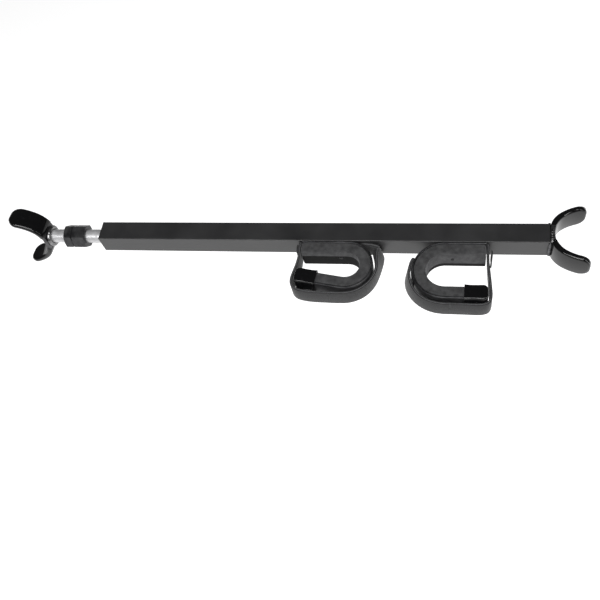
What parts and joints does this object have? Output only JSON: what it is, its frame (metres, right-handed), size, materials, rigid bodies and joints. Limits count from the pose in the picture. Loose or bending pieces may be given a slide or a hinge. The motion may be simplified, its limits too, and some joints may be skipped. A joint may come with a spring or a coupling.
{
  "type": "saddle-ended rack bar",
  "caption": "Length-adjustable square bar that clamps between two round tubes by coated saddles and carries long items in padded, strapped hooks.",
  "frame": {"origin": "middle of the fixed saddle's seat, on the bar's own axis", "axes": "+X along the bar and out through the fixed saddle's mouth, -Y the side the hooks stand out on, +Z across the hooks' width"},
  "size_m": [0.6852, 0.1305, 0.0776],
  "materials": {
    "tube_paint": "satin black powder coat",
    "zinc": "bright zinc plate",
    "black_oxide": "black oxide",
    "raw_steel": "bare welded steel",
    "vinyl": "glossy black dipped vinyl",
    "black_plastic": "moulded",
    "foam": "fine grey fabric-faced foam",
    "webbing": "woven hook-and-loop strap"
  },
  "bodies": {
    "bar": {"main_tube": "tube_paint", "end_bushing": "black_plastic", "fixed_saddle_bar": "raw_steel", "fixed_saddle_coat_a": "vinyl", "fixed_saddle_coat_b": "vinyl", "tube_weld_back": "raw_steel", "tube_weld_front": "raw_steel", "left_hook_band": "black_oxide", "left_hook_pad": "foam", "left_hook_cap": "vinyl", "left_hook_screw": "black_oxide", "left_hook_washer": "zinc", "left_hook_nut": "zinc", "left_strap_anchor": "webbing", "left_strap_wrap": "webbing", "right_hook_band": "black_oxide", "right_hook_pad": "foam", "right_hook_cap": "vinyl", "right_hook_screw": "black_oxide", "right_hook_washer": "zinc", "right_hook_nut": "zinc", "right_strap_anchor": "webbing", "right_strap_wrap": "webbing"},
    "slider": {"rod_guide": "black_plastic"},
    "rod": {"adjusting_rod": "zinc", "rod_collar_outer": "zinc", "rod_collar_inner": "zinc", "rod_weld": "raw_steel", "swivel_saddle_bar": "raw_steel", "swivel_saddle_coat_a": "vinyl", "swivel_saddle_coat_b": "vinyl"},
    "adjusting_nut": {"adjusting_nut": "black_oxide"},
    "jam_nut": {"jam_nut": "black_oxide"},
    "left_flap": {"left_strap_flap": "webbing", "left_strap_keeper": "webbing"},
    "right_flap": {"right_strap_flap": "webbing", "right_strap_keeper": "webbing"}
  },
  "joints": [
    {"name": "rod_extension", "type": "slide", "parent": "bar", "child": "slider", "axis": [-1, 0, 0], "range_m": [-0.007, 0.075]},
    {"name": "saddle_swivel", "type": "hinge", "parent": "slider", "child": "rod", "pos_m": [-0.58, 0, 0], "axis": [1, 0, 0], "continuous": true},
    {"name": "adjusting_nut_travel", "type": "slide", "parent": "rod", "child": "adjusting_nut", "axis": [1, 0, 0], "range_m": [0, 0.0143]},
    {"name": "jam_nut_travel", "type": "slide", "parent": "rod", "child": "jam_nut", "axis": [-1, 0, 0], "range_m": [0, 0.016]},
    {"name": "left_strap_peel", "type": "hinge", "parent": "bar", "child": "left_flap", "pos_m": [-0.2827, -0.0151, 0], "axis": [0, 0, -1], "range_deg": [0, 50]},
    {"name": "right_strap_peel", "type": "hinge", "parent": "bar", "child": "right_flap", "pos_m": [-0.0707, -0.0151, 0], "axis": [0, 0, 1], "range_deg": [0, 72]}
  ]
}
